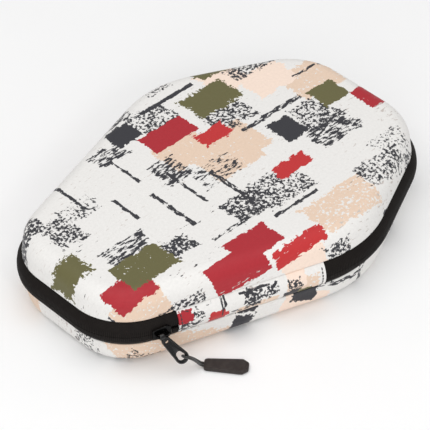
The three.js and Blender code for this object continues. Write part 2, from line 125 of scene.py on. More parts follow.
# ---- camera, floor and light ----
def make_camera():
    azimuth = math.radians(42.3)
    elevation = math.radians(41.1)
    roll = math.radians(-1.3)
    distance = 1.7358
    target = Vector((-0.0081, -0.0062, 0.030))
    right = Vector((math.cos(azimuth), -math.sin(azimuth), 0))
    away = Vector((math.sin(azimuth), math.cos(azimuth), 0))
    look = away * math.cos(elevation) - Vector((0, 0, math.sin(elevation)))
    up = right.cross(look)
    turned_right = right * math.cos(roll) + up * math.sin(roll)
    turned_up = up * math.cos(roll) - right * math.sin(roll)
    data = bpy.data.cameras.new("camera")
    data.lens = 209.5
    data.sensor_width = 36
    data.clip_end = 50
    camera = bpy.data.objects.new("camera", data)
    axes = Matrix((turned_right, turned_up, -look)).transposed()
    camera.matrix_world = Matrix.Translation(target - look * distance) @ axes.to_4x4()
    bpy.context.scene.collection.objects.link(camera)
    bpy.context.scene.camera = camera


def add_area_light(name, place, aim, size, power):
    data = bpy.data.lights.new(name, "AREA")
    data.shape = "DISK"
    data.size = size
    data.energy = power
    light = bpy.data.objects.new(name, data)
    light.location = place
    light.rotation_euler = (Vector(aim) - Vector(place)).to_track_quat("-Z", "Y").to_euler()
    bpy.context.scene.collection.objects.link(light)


def make_studio():
    world = bpy.data.worlds.new("studio")
    world.use_nodes = True
    background = world.node_tree.nodes["Background"]
    background.inputs["Color"].default_value = (1.0, 1.0, 1.0, 1)
    background.inputs["Strength"].default_value = 0.5
    bpy.context.scene.world = world
    add_area_light("overhead", (-0.3, -0.1, 1.9), (0, 0, 0), 2.4, 20)
    add_area_light("front_left", (-1.3, -1.3, 0.9), (0, 0, 0.03), 1.0, 6.5)
    add_area_light("kicker", (-0.7, -1.6, 1.3), (-0.1, -0.08, 0.02), 0.3, 3)
    bpy.context.scene.view_settings.view_transform = "Standard"
    mesh = bpy.data.meshes.new("floor")
    half = 4.0
    corners = [(-half, -half, 0), (half, -half, 0), (half, half, 0), (-half, half, 0)]
    mesh.from_pydata(corners, [], [(0, 1, 2, 3)])
    floor = bpy.data.objects.new("floor", mesh)
    floor.location.z = -0.0003
    bpy.context.scene.collection.objects.link(floor)
    return floor


make_camera()
FLOOR = make_studio()


# ---- node graphs ----
def srgb(red, green, blue):
    def linear(value):
        value /= 255
        return value / 12.92 if value <= 0.04045 else ((value + 0.055) / 1.055) ** 2.4

    return (linear(red), linear(green), linear(blue), 1)


class Graph:
    """Adds shader nodes to a node tree; each call gives the new node's first output."""

    def __init__(self, tree):
        self.tree = tree

    def node(self, kind, inputs, **settings):
        made = self.tree.nodes.new("ShaderNode" + kind)
        for name, value in settings.items():
            setattr(made, name, value)
        for key, value in inputs.items():
            if isinstance(value, bpy.types.NodeSocket):
                self.tree.links.new(value, made.inputs[key])
            elif value is not None:
                made.inputs[key].default_value = value
        return made

    def math(self, operation, a, b=None, c=None):
        return self.node("Math", {0: a, 1: b, 2: c}, operation=operation).outputs[0]

    def vector(self, operation, a, b=None):
        return self.node("VectorMath", {0: a, 1: b}, operation=operation).outputs[0]

    def map_range(self, value, low, high, to_low=0.0, to_high=1.0):
        ends = {"From Min": low, "From Max": high, "To Min": to_low, "To Max": to_high}
        return self.node("MapRange", {"Value": value, **ends}, clamp=True).outputs[0]

    def noise(self, vector, scale, detail=2.0, roughness=0.5):
        inputs = {"Vector": vector, "Scale": scale, "Detail": detail, "Roughness": roughness}
        return self.node("TexNoise", inputs).outputs["Fac"]

    def mix(self, factor, a, b):
        inputs = {0: factor, 6: a, 7: b}
        return self.node("Mix", inputs, data_type="RGBA").outputs[2]

    def millimetres(self, layer):
        """The piece's UV layer, which holds millimetres over the cloth."""
        return self.node("UVMap", {}, uv_map=layer).outputs[0]

    def place(self):
        """The object's own coordinates, in millimetres."""
        where = self.node("TexCoord", {}).outputs["Object"]
        return self.node("VectorMath", {0: where, "Scale": 1000.0}, operation="SCALE").outputs[0]

    def bump(self, height, strength, distance=0.0002):
        inputs = {"Height": height, "Strength": strength, "Distance": distance}
        return self.node("Bump", inputs).outputs[0]


def new_material(name, roughness, **sockets):
    material = bpy.data.materials.new(name)
    material.use_nodes = True
    shader = material.node_tree.nodes["Principled BSDF"]
    shader.inputs["Roughness"].default_value = roughness
    for key, value in sockets.items():
        shader.inputs[key.replace("_", " ")].default_value = value
    return material, Graph(material.node_tree), shader


def link(graph, value, shader, socket):
    graph.tree.links.new(value, shader.inputs[socket])


# ---- the print: dry-brushed blocks that line up with the case's length and width ----
INK = {
    "white": srgb(238, 236, 233),
    "peach": srgb(234, 208, 186),
    "blush": srgb(250, 228, 212),
    "red": srgb(176, 42, 52),
    "bright_red": srgb(196, 50, 52),
    "olive": srgb(106, 102, 66),
    "charcoal": srgb(56, 56, 61),
    "shade": srgb(205, 196, 190),
}

# The print is a made-up arrangement. Each layer: ink, how many blocks on a shell, their least and
# most length and width (mm), how ragged their edges are (mm), how dry the brush was (0 solid,
# 1 bare) and which way the bristles ran.
PRINT_LAYERS = [
    ("peach", 9, (34, 66), (26, 44), (2.0, 4.0), (0.32, 0.42), "round"),
    ("blush", 5, (24, 44), (18, 34), (1.5, 3.0), (0.14, 0.34), "length"),
    ("charcoal", 20, (16, 42), (12, 28), (3.0, 5.0), (0.42, 0.54), "round"),
    ("charcoal", 9, (18, 44), (10, 22), (2.5, 4.0), (0.44, 0.54), "length"),
    ("red", 8, (18, 46), (13, 26), (1.0, 4.0), (0.05, 0.36), "length"),
    ("bright_red", 3, (20, 40), (10, 18), (0.8, 3.0), (0.10, 0.40), "length"),
    ("olive", 6, (22, 40), (16, 26), (1.5, 4.0), (0.10, 0.34), "round"),
    ("charcoal", 6, (11, 22), (12, 24), (1.5, 2.5), (0.05, 0.10), "round"),
    ("charcoal", 9, (26, 70), (1.6, 3.4), (0.6, 1.5), (0.32, 0.48), "length"),
    ("charcoal", 9, (1.2, 3.2), (22, 60), (0.6, 1.5), (0.28, 0.42), "width"),
    ("white", 6, (8, 20), (6, 14), (1.0, 2.5), (0.20, 0.40), "round"),
    ("charcoal", 8, (26, 66), (2, 4), (1.5, 2.5), (0.58, 0.66), "length"),
    ("shade", 5, (22, 40), (10, 20), (3.0, 4.0), (0.58, 0.62), "length"),
]


def scattered_blocks(seed, low, high, size=1.0, share=1.0):
    """Blocks spread evenly over a stretch of cloth: ink, x and y extents, edge, dryness, bristles."""
    draw = random.Random(seed)
    spots = []
    total = sum(max(1, round(layer[1] * share)) for layer in PRINT_LAYERS)
    for i in range(total):
        across = (0.5 + i * 0.7548777) % 1
        up = (0.5 + i * 0.5698403) % 1
        spots.append((low[0] + (high[0] - low[0]) * across, low[1] + (high[1] - low[1]) * up))
    draw.shuffle(spots)
    blocks = []
    for ink, count, lengths, widths, ragged, dry, bristles in PRINT_LAYERS:
        for _ in range(max(1, round(count * share))):
            x, y = spots.pop()
            half_x = draw.uniform(*lengths) * size / 2
            half_y = draw.uniform(*widths) * size / 2
            finish = (draw.uniform(*ragged) * size, draw.uniform(*dry), bristles)
            blocks.append((ink, x - half_x, x + half_x, y - half_y, y + half_y, *finish))
    return blocks


LID_BLOCKS = scattered_blocks(11, (-165, -130), (165, 130))
BASE_BLOCKS = scattered_blocks(23, (-165, -130), (165, 130))
SPINE_BLOCKS = scattered_blocks(5, (SPINE_START, 20), (SPINE_END, 44), 0.5, 0.2)


def make_block_group():
    """A node group that says where one block has taken ink: 1 inked, 0 bare."""
    tree = bpy.data.node_groups.new("print_block", "ShaderNodeTree")
    for name in ("X", "Y", "Edge", "Grain", "Middle X", "Middle Y", "Half X", "Half Y", "Ragged", "Dry"):
        tree.interface.new_socket(name, in_out="INPUT", socket_type="NodeSocketFloat")
    tree.interface.new_socket("Ink", in_out="OUTPUT", socket_type="NodeSocketFloat")
    graph = Graph(tree)
    given = tree.nodes.new("NodeGroupInput").outputs
    result = tree.nodes.new("NodeGroupOutput").inputs

    def beyond(axis):
        offset = graph.math("ABSOLUTE", graph.math("SUBTRACT", given[axis], given["Middle " + axis]))
        return graph.math("SUBTRACT", offset, given["Half " + axis])

    distance = graph.math("MAXIMUM", beyond("X"), beyond("Y"))
    wandering = graph.math("MULTIPLY_ADD", given["Edge"], given["Ragged"], distance)
    fringe = graph.math("DIVIDE", graph.math("ADD", wandering, given["Ragged"]), given["Ragged"])
    missed = graph.math("MAXIMUM", graph.math("MULTIPLY_ADD", fringe, 0.3, 0.1), given["Dry"])
    both = graph.math("MULTIPLY", graph.math("SUBTRACT", given["Grain"], missed), 22.0)
    clamped = graph.node("Clamp", {"Value": both}).outputs[0]
    tree.links.new(clamped, result["Ink"])
    return tree


PRINT_BLOCK = make_block_group()


def add_print(graph, point, blocks):
    """The colour of the printed cloth at a point, block over block, on white."""
    squashed = graph.vector("MULTIPLY", point, (0.35, 1.0, 1.0))
    stood = graph.vector("MULTIPLY", point, (1.0, 0.35, 1.0))
    clumps = graph.map_range(graph.noise(point, 0.11, 2.0, 0.6), 0.3, 0.7, -0.07, 0.07)
    grain = {
        "round": graph.math("ADD", graph.noise(point, 0.42, 3.0, 0.6), clumps),
        "length": graph.math("ADD", graph.noise(squashed, 0.5, 3.0, 0.6), clumps),
        "width": graph.math("ADD", graph.noise(stood, 0.5, 3.0, 0.6), clumps),
    }
    edge = graph.map_range(graph.noise(point, 0.12, 3.0, 0.7), 0.3, 0.7, -0.7, 0.7)
    fleck = graph.map_range(graph.noise(squashed, 0.5, 2.0), 0.64, 0.68, 0.0, 0.7)
    patchy = graph.map_range(graph.noise(point, 0.03, 1.0), 0.45, 0.6)
    colour = graph.mix(graph.math("MULTIPLY", fleck, patchy), INK["white"], INK["shade"])
    parts = graph.node("SeparateXYZ", {0: point}).outputs
    for ink, x_from, x_to, y_from, y_to, ragged, dry, bristles in blocks:
        block = graph.tree.nodes.new("ShaderNodeGroup")
        block.node_tree = PRINT_BLOCK
        extent = {"Middle X": (x_from + x_to) / 2, "Middle Y": (y_from + y_to) / 2}
        extent.update({"Half X": (x_to - x_from) / 2, "Half Y": (y_to - y_from) / 2})
        for key, value in {**extent, "Ragged": ragged, "Dry": dry}.items():
            block.inputs[key].default_value = value
        linked = {"X": parts["X"], "Y": parts["Y"], "Edge": edge, "Grain": grain[bristles]}
        for key, value in linked.items():
            graph.tree.links.new(value, block.inputs[key])
        colour = graph.mix(block.outputs[0], colour, INK[ink])
    return colour


def printed_cloth(name, blocks):
    material, graph, shader = new_material(name, 0.5, Specular_IOR_Level=0.3)
    point = graph.millimetres("cloth")
    colour = add_print(graph, point, blocks)
    mottle = graph.map_range(graph.noise(point, 0.5, 3.0, 0.7), 0.3, 0.7, 0.95, 1.03)
    toned = graph.node("VectorMath", {0: colour, "Scale": mottle}, operation="SCALE").outputs[0]
    link(graph, toned, shader, "Base Color")
    link(graph, graph.map_range(graph.noise(point, 0.2, 2.0), 0.3, 0.7, 0.42, 0.58), shader, "Roughness")
    parts = graph.node("SeparateXYZ", {0: point}).outputs
    warp = graph.math("SINE", graph.math("MULTIPLY", parts["X"], math.tau / 0.7))
    weft = graph.math("SINE", graph.math("MULTIPLY", parts["Y"], math.tau / 0.7))
    weave = graph.math("MULTIPLY", warp, weft)
    uneven = graph.noise(point, 0.12, 3.0, 0.6)
    height = graph.math("MULTIPLY_ADD", uneven, 4.0, weave)
    link(graph, graph.bump(height, 0.12, 0.0001), shader, "Normal")
    return material


def lining_cloth():
    """Brushed knit: short pile over rows of small loops, rubbed lighter in patches; the colour follows
    the knit's height, partly random pile tone and partly painted shade between the loops.
    """
    material, graph, shader = new_material("lining_cloth", 0.95, Sheen_Weight=0.35)
    point = graph.place()
    parts = graph.node("SeparateXYZ", {0: point}).outputs
    rows = graph.math("SINE", graph.math("MULTIPLY", parts["Y"], math.tau / 1.6))
    loops = graph.math("SINE", graph.math("MULTIPLY", parts["X"], math.tau / 1.1))
    pile = graph.noise(point, 1.3, 3.0, 0.7)
    rubbed = graph.noise(point, 0.035, 3.0, 0.6)
    knit = graph.math("MULTIPLY_ADD", graph.math("MULTIPLY", rows, loops), 0.12, pile)
    # partly random pile tone, partly painted shade: lighter on the raised loops, darker between them
    pile_tone_and_loop_shade = graph.mix(graph.map_range(knit, 0.3, 0.7), srgb(40, 40, 44), srgb(74, 74, 80))
    colour = graph.mix(graph.map_range(rubbed, 0.42, 0.62, 0.0, 0.45), pile_tone_and_loop_shade, srgb(86, 86, 92))
    link(graph, colour, shader, "Base Color")
    link(graph, graph.bump(knit, 0.6, 0.0004), shader, "Normal")
    return material


def zip_tape_cloth():
    """Woven tape: fine cross ribs over the chain, plain weave beside it, with painted shade in the
    grooves and lighter rib tops.
    """
    material, graph, shader = new_material("zip_tape_cloth", 0.6, Specular_IOR_Level=0.04)
    parts = graph.node("SeparateXYZ", {0: graph.millimetres("cloth")}).outputs
    run = graph.math("MULTIPLY", parts["X"], math.tau / 1.3)
    ribs = graph.math("SINE", run)
    from_middle = graph.math("ABSOLUTE", graph.math("SUBTRACT", parts["Y"], MID_Z))
    over_chain = graph.map_range(from_middle, 3.0, 4.2, 1.0, 0.15)
    threads = graph.math("SINE", graph.math("MULTIPLY", parts["Y"], math.tau / 0.8))
    height = graph.math("MULTIPLY_ADD", ribs, over_chain, graph.math("MULTIPLY", threads, 0.25))
    soft = graph.noise(graph.millimetres("cloth"), 0.25, 3.0, 0.6)
    # painted shade: the colour follows the rib height, darker in the grooves and lighter on the rib tops
    ribs_with_painted_shade = graph.mix(graph.map_range(height, -1.0, 1.0), srgb(20, 18, 17), srgb(44, 40, 38))
    colour = graph.mix(graph.map_range(soft, 0.35, 0.65, 0.0, 0.5), ribs_with_painted_shade, srgb(27, 24, 23))
    link(graph, colour, shader, "Base Color")
    link(graph, graph.bump(height, 0.5, 0.00025), shader, "Normal")
    return material


def woven_black(name, pitch, base, light):
    """Black ribbed tape or elastic: ribs a pitch apart, in the piece's own coordinates, with painted
    shade: darker between the ribs, lighter on their tops.
    """
    material, graph, shader = new_material(name, 0.8, Sheen_Weight=0.3)
    point = graph.place()
    parts = graph.node("SeparateXYZ", {0: point}).outputs
    rib = graph.math("SINE", graph.math("MULTIPLY", parts["X"], math.tau / pitch))
    fuzz = graph.noise(point, 1.2, 3.0, 0.7)
    height = graph.math("MULTIPLY_ADD", fuzz, 0.8, rib)
    # painted shade: base is the colour between the ribs and light is the lighter colour on the rib tops,
    # mixed by the rib height
    colour = graph.mix(graph.map_range(height, -0.8, 1.4), srgb(*base), srgb(*light))
    link(graph, colour, shader, "Base Color")
    link(graph, graph.bump(height, 0.4, 0.0002), shader, "Normal")
    return material


def black_metal(name, shine):
    """Black plating, rubbed dull in patches, with bright nicks where it is thin."""
    material, graph, shader = new_material(name, 0.2, Specular_IOR_Level=shine)
    point = graph.place()
    wear = graph.noise(point, 0.9, 4.0, 0.65)
    nicks = graph.map_range(graph.noise(point, 2.2, 2.0), 0.7, 0.76, 0.0, 0.6)
    plate = graph.mix(graph.map_range(wear, 0.55, 0.75), srgb(5, 5, 5), srgb(15, 14, 13))
    link(graph, graph.mix(nicks, plate, srgb(120, 116, 110)), shader, "Base Color")
    link(graph, graph.map_range(wear, 0.3, 0.7, 0.14, 0.26), shader, "Roughness")
    link(graph, graph.bump(graph.noise(point, 1.5, 3.0), 0.06), shader, "Normal")
    return material


def coil_plastic():
    material, graph, shader = new_material("coil_plastic", 0.35)
    shade = graph.noise(graph.place(), 2.0, 2.0)
    link(graph, graph.mix(shade, srgb(16, 16, 17), srgb(40, 40, 42)), shader, "Base Color")
    return material


def grip_rubber():
    material, graph, shader = new_material("grip_rubber", 0.62, Specular_IOR_Level=0.35)
    point = graph.place()
    grain = graph.noise(point, 1.8, 4.0, 0.7)
    blotch = graph.noise(point, 0.25, 2.0)
    tone = graph.mix(graph.map_range(blotch, 0.35, 0.65), srgb(46, 39, 37), srgb(62, 54, 51))
    colour = graph.mix(graph.map_range(grain, 0.3, 0.7, 0.0, 0.5), tone, srgb(36, 30, 29))
    link(graph, colour, shader, "Base Color")
    link(graph, graph.bump(grain, 0.35, 0.0002), shader, "Normal")
    return material


def cord_yarn():
    """Braided yarn: small diamonds from two sets of diagonal ridges, lighter on the ridges and darker
    between them, a painted shade.
    """
    material, graph, shader = new_material("cord_yarn", 0.7, Sheen_Weight=0.4)
    point = graph.place()
    parts = graph.node("SeparateXYZ", {0: point}).outputs
    rising = graph.math("ADD", parts["X"], parts["Z"])
    falling = graph.math("SUBTRACT", parts["Y"], parts["Z"])
    one_way = graph.math("SINE", graph.math("MULTIPLY", rising, 7.0))
    other_way = graph.math("SINE", graph.math("MULTIPLY", falling, 7.0))
    height = graph.math("MULTIPLY", one_way, other_way)
    # painted shade: the colour follows the braid height, darker in the hollows and lighter on the ridges
    colour = graph.mix(graph.map_range(height, -1.0, 1.0), srgb(22, 20, 20), srgb(52, 48, 46))
    link(graph, colour, shader, "Base Color")
    link(graph, graph.bump(height, 0.5, 0.0003), shader, "Normal")
    return material


def pocket_net():
    """Knitted net: round holes in staggered rows, 2.4 mm apart."""
    material, graph, shader = new_material("pocket_net", 0.85, Sheen_Weight=0.2)
    parts = graph.node("SeparateXYZ", {0: graph.place()}).outputs
    across = graph.math("COSINE", graph.math("MULTIPLY", parts["X"], math.tau / 2.4))
    along = graph.math("COSINE", graph.math("MULTIPLY", parts["Y"], math.tau / 4.0))
    thread = graph.map_range(graph.math("MULTIPLY", across, along), 0.35, 0.5, 1.0, 0.0)
    link(graph, thread, shader, "Alpha")
    tone = graph.noise(graph.place(), 1.5, 2.0)
    link(graph, graph.mix(tone, srgb(32, 32, 35), srgb(60, 60, 64)), shader, "Base Color")
    link(graph, graph.bump(thread, 0.5, 0.0003), shader, "Normal")
    return material


def floor_paint():
    material, graph, shader = new_material("floor_paint", 0.8)
    point = graph.place()
    tone = graph.noise(point, 0.01, 2.0)
    link(graph, graph.mix(tone, srgb(252, 252, 252), srgb(255, 255, 255)), shader, "Base Color")
    return material


LID_CLOTH = printed_cloth("lid_cloth", LID_BLOCKS)
BASE_CLOTH = printed_cloth("base_cloth", BASE_BLOCKS)
SPINE_CLOTH = printed_cloth("spine_cloth", SPINE_BLOCKS)
LINING = lining_cloth()
TAPE = zip_tape_cloth()
COIL = coil_plastic()
# painted shade: each pair is the colour between the ribs, then the lighter colour painted on the rib
# tops
BINDING = woven_black("binding_tape", 1.1, (22, 21, 22), (44, 42, 43))
ELASTIC = woven_black("elastic", 1.5, (20, 20, 21), (46, 45, 47))
METAL = black_metal("black_metal", 0.5)
CASTING = black_metal("black_casting", 0.12)
YARN = cord_yarn()
RUBBER = grip_rubber()
NET = pocket_net()
# painted shade: each pair is the colour between the ribs, then the lighter colour painted on the rib
# tops
THREAD = woven_black("thread", 0.6, (30, 28, 30), (60, 58, 60))
PALE_THREAD = woven_black("pale_thread", 0.6, (120, 118, 118), (170, 168, 166))
FLOOR.data.materials.append(floor_paint())


# ---- outline: the CAD's straight sides and round corners ----
def make_outline():
    half = LENGTH / 2
    front = [
        (-half, -HANDLE_HALF_WIDTH, HANDLE_CORNER_RADIUS),
        (WIDEST_X, -WIDEST_HALF_WIDTH, WIDEST_CORNER_RADIUS),
        (half, -HEAD_HALF_WIDTH, HEAD_CORNER_RADIUS),
    ]
    corners = front + [(x, -y, radius) for x, y, radius in reversed(front)]
    arcs = []
    for i, (x, y, radius) in enumerate(corners):
        here = Vector((x, y))
        into = (here - Vector(corners[i - 1][:2])).normalized()
        away = (Vector(corners[(i + 1) % len(corners)][:2]) - here).normalized()
        turn = into.angle(away)
        tangent = radius * math.tan(turn / 2)
        start = here - into * tangent
        centre = start + Vector((-into.y, into.x)) * radius
        arc = {"radius": radius, "turn": turn, "tangent": tangent, "start": start, "centre": centre}
        arc["end"] = here + away * tangent
        arcs.append(arc)
    return arcs


ARCS = make_outline()
FIRST_TANGENT = ARCS[0]["tangent"]


def outline_places():
    """Places round the case from the front side's start: (x, y, out x, out y, distance)."""
    found = []
    total = 0.0
    for i, arc in enumerate(ARCS):
        after = ARCS[(i + 1) % len(ARCS)]
        span = after["start"] - arc["end"]
        way = span.normalized()
        found.append((arc["end"].x, arc["end"].y, way.y, -way.x, total))
        total += span.length
        length = after["radius"] * after["turn"]
        steps = math.ceil(after["turn"] / ARC_STEP)
        first = math.atan2(way.y, way.x) - math.pi / 2
        for j in range(steps):
            angle = first + after["turn"] * j / steps
            out = Vector((math.cos(angle), math.sin(angle)))
            at = after["centre"] + out * after["radius"]
            found.append((at.x, at.y, out.x, out.y, total + length * j / steps))
        total += length
    return found, total


LAP, PERIMETER = outline_places()


def along(distance):
    return distance - FIRST_TANGENT


def places_between(start, end, most=6.0):
    """Places from one distance to another, at most some millimetres apart."""
    laps = [(x, y, ox, oy, d + lap) for lap in (0, PERIMETER) for x, y, ox, oy, d in LAP]
    laps.append((*LAP[0][:4], 2 * PERIMETER))

    def at(distance):
        for a, b in zip(laps, laps[1:]):
            if a[4] <= distance <= b[4]:
                share = (distance - a[4]) / (b[4] - a[4])
                x, y, ox, oy = (p + (q - p) * share for p, q in zip(a[:4], b[:4]))
                size = math.hypot(ox, oy)
                return (x, y, ox / size, oy / size, distance)

    stops = [start] + [place[4] for place in laps if start + 0.05 < place[4] < end - 0.05] + [end]
    filled = []
    for a, b in zip(stops, stops[1:]):
        steps = max(1, math.ceil((b - a) / most))
        filled += [a + (b - a) * j / steps for j in range(steps)]
    return [at(distance) for distance in filled + [end]]


# ---- mesh making ----
def add_object(name, mesh, material, body, slot, *nodes):
    piece = bpy.data.objects.new(name, mesh)
    bpy.context.scene.collection.objects.link(piece)
    mesh.materials.append(material)
    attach(piece, body)
    if nodes:
        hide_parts(*nodes)
    return piece


def mesh_from(name, points, faces, cloth=None, sharp=30):
    """A mesh in metres from millimetre points; cloth gives each point's UV in millimetres."""
    mesh = bpy.data.meshes.new(name)
    mesh.from_pydata([tuple(c * MM for c in point) for point in points], [], faces)
    if cloth is not None:
        layer = mesh.uv_layers.new(name="cloth")
        for loop in mesh.loops:
            layer.data[loop.index].uv = cloth[loop.vertex_index]
    work = bmesh.new()
    work.from_mesh(mesh)
    bmesh.ops.recalc_face_normals(work, faces=work.faces)
    work.to_mesh(mesh)
    work.free()
    mesh.shade_smooth()
    mesh.set_sharp_from_angle(angle=math.radians(sharp))
    return mesh


def swept(name, places, section, is_lap=False, sharp=30):
    """A section of (inset, z) points carried round the outline; the UV is (distance, z)."""
    size = len(section(places[0][4]))
    points = []
    cloth = []
    for x, y, ox, oy, distance in places:
        for inset, z in section(distance):
            points.append((x - ox * inset, y - oy * inset, z))
            cloth.append((distance, z))
    faces = []
    count = len(places)
    for i in range(count if is_lap else count - 1):
        here = i * size
        there = ((i + 1) % count) * size
        for j in range(size):
            k = (j + 1) % size
            faces.append((here + j, there + j, there + k, here + k))
    if not is_lap:
        faces.append(tuple(range(size)))
        faces.append(tuple((count - 1) * size + j for j in reversed(range(size))))
    return mesh_from(name, points, faces, cloth, sharp)


def wall_profile(inward, steps):
    """(inset, z, cloth inset) of the base's wall from rim to floor: the last is the place on the
    cloth as if it were unrolled outwards from the flat."""
    radius = FILLET_RADIUS - inward
    rim_inset = RIM_INSET + inward
    arc_length = FILLET_RADIUS * math.pi / 2
    wall_length = SHELL_RIM_Z - FILLET_RADIUS
    rim_cloth = FLAT_INSET - arc_length - wall_length
    profile = []
    for j in range(4):
        share = j / 4
        inset = rim_inset + (WALL_FOOT_INSET - RIM_INSET) * share
        profile.append((inset, SHELL_RIM_Z - wall_length * share, rim_cloth + wall_length * share))
    for j in range(steps + 1):
        angle = math.pi / 2 * j / steps
        inset = FLAT_INSET - radius * math.cos(angle)
        z = FILLET_RADIUS - radius * math.sin(angle)
        profile.append((inset, z, FLAT_INSET - arc_length * (1 - j / steps)))
    profile.append((FLAT_INSET + 3, FILLET_RADIUS - radius, FLAT_INSET + 3))
    return profile


def tray(name, outward, inward, is_lid):
    """A closed tray between two walls, with its outer rim rounded over."""
    wall = wall_profile(outward, 12)
    inset, z, on_cloth = wall[0]
    rolled = [
        (inset + 0.5, z, on_cloth),
        (inset + 0.12, z - 0.15, on_cloth),
        (inset, z - 0.6, on_cloth),
    ]
    outer = rolled + wall[1:]
    section = outer + list(reversed(wall_profile(inward, 6)))
    points = []
    cloth = []
    for x, y, ox, oy, _ in LAP:
        for inset, z, cloth_inset in section:
            points.append((x - ox * inset, y - oy * inset, HEIGHT - z if is_lid else z))
            cloth.append((x - ox * cloth_inset, y - oy * cloth_inset))
    size = len(section)
    count = len(LAP)
    faces = []
    split = len(outer) - 1
    for i in range(count):
        here = i * size
        there = ((i + 1) % count) * size
        for j in range(size):
            if j != split:
                k = (j + 1) % size
                faces.append((here + j, there + j, there + k, here + k))
    faces.append(tuple(i * size + split for i in range(count)))
    faces.append(tuple(i * size + split + 1 for i in range(count)))
    return mesh_from(name, points, faces, cloth, 40)


# ---- shells and linings ----
def make_shells():
    lining_out = SHELL_THICKNESS + GAP
    lining_in = lining_out + LINING_THICKNESS
    for side, cloth in (("base", BASE_CLOTH), ("lid", LID_CLOTH)):
        is_lid = side == "lid"
        skin = tray(side + "_skin", 0, SHELL_THICKNESS, is_lid)
        add_object(side + "_skin", skin, cloth, side, "printed_skin", side + "_shell")
        inside = tray(side + "_inside", lining_out, lining_in, is_lid)
        add_object(side + "_inside", inside, LINING, side, "lining_cloth", side + "_lining")


make_shells()


# ---- zip ----
def band_inset(z, depth=0.0):
    radius = BAND_RADIUS - depth
    return BAND_RADIUS - math.sqrt(radius**2 - (z - MID_Z) ** 2)


def band_face(start, end, steps, depth=0.0):
    heights = [start + (end - start) * j / steps for j in range(steps + 1)]
    return [(band_inset(z, depth), z) for z in heights]


def mirrored(section):
    return lambda distance: [(inset, HEIGHT - z) for inset, z in section(distance)]


ZIP_START = along(SPINE_END + GAP)
ZIP_END = PERIMETER + along(SPINE_START - GAP)
CHAIN_START = along(CHAIN_FAR_END)
CHAIN_END = PERIMETER + along(CHAIN_NEAR_END)
SLIDER_DISTANCE = PERIMETER + along(SLIDER_ALONG)


def half_gap(distance):
    """How far each half of the zip stands from the middle: apart beyond the slider."""
    past = min(max((distance - SLIDER_DISTANCE) / SPREAD_RAMP, 0), 1)
    return GAP / 2 + SPREAD * past


def lower_tape(distance):
    """The lower tape with a low rib beside the chain, where it is doubled over."""
    top = MID_Z - half_gap(distance)
    foot = SHELL_RIM_Z + GAP
    flange = RIM_INSET + SHELL_THICKNESS
    outside = band_face(top, foot, 12)
    edge = [(outside[0][0] + 0.14, top)]
    raised = [(inset - 0.18 * math.exp(-(((MID_Z - z - 4.4) / 0.7) ** 2)), z) for inset, z in outside]
    raised[0] = (raised[0][0], top - 0.08)
    inside = band_face(foot + TAPE_THICKNESS, top, 6, TAPE_THICKNESS)
    return edge + raised + [(flange, foot), (flange, foot + TAPE_THICKNESS)] + inside


def make_tapes():
    run = places_between(ZIP_START, ZIP_END, 3.0)
    lower = swept("lower_tape", run, lower_tape)
    upper = swept("upper_tape", run, mirrored(lower_tape))
    add_object("lower_tape", lower, TAPE, "base", "zip_tape", "lower_zip_tape")
    add_object("upper_tape", upper, TAPE, "lid", "zip_tape", "upper_zip_tape")


def coil_mesh(name, is_upper):
    """One half of the chain: a wire wound round a line behind the tape's edge."""
    half_depth = 1.0
    half_height = 1.05
    depth = TAPE_THICKNESS + GAP + 0.15 + half_depth
    core = []
    for x, y, ox, oy, distance in places_between(CHAIN_START, CHAIN_END, COIL_PITCH / 2):
        middle = MID_Z - half_gap(distance) - half_height
        core.append((Vector((x - ox * depth, y - oy * depth, middle)), Vector((ox, oy, 0)), distance))
    line = []
    j = 0
    steps = int((CHAIN_END - CHAIN_START) / COIL_PITCH * TURN_POINTS)
    for i in range(steps):
        distance = CHAIN_START + (CHAIN_END - CHAIN_START) * i / steps
        while core[j + 1][2] < distance:
            j += 1
        share = (distance - core[j][2]) / (core[j + 1][2] - core[j][2])
        centre = core[j][0].lerp(core[j + 1][0], share)
        out = core[j][1].lerp(core[j + 1][1], share)
        angle = math.tau * i / TURN_POINTS
        at = centre + out * math.cos(angle) * (half_depth - WIRE_RADIUS)
        at.z += math.sin(angle) * (half_height - WIRE_RADIUS)
        line.append(Vector((at.x, at.y, HEIGHT - at.z)) if is_upper else at)
    points = []
    faces = []
    for i, at in enumerate(line):
        way = (line[min(i + 1, steps - 1)] - line[max(i - 1, 0)]).normalized()
        side = way.cross(Vector((0, 0, 1))).normalized()
        top = side.cross(way)
        for k in range(WIRE_SIDES):
            angle = math.tau * k / WIRE_SIDES
            points.append(at + (side * math.cos(angle) + top * math.sin(angle)) * WIRE_RADIUS)
    for i in range(steps - 1):
        here = i * WIRE_SIDES
        there = here + WIRE_SIDES
        for k in range(WIRE_SIDES):
            m = (k + 1) % WIRE_SIDES
            faces.append((here + k, here + m, there + m, there + k))
    last = (steps - 1) * WIRE_SIDES
    faces.append(tuple(range(WIRE_SIDES)))
    faces.append(tuple(last + k for k in reversed(range(WIRE_SIDES))))
    return mesh_from(name, points, faces)


def make_coils():
    lower = coil_mesh("lower_coil", False)
    upper = coil_mesh("upper_coil", True)
    add_object("lower_coil", lower, COIL, "base", "zip_coil", "lower_zip_coil")
    add_object("upper_coil", upper, COIL, "lid", "zip_coil", "upper_zip_coil")


make_tapes()
make_coils()


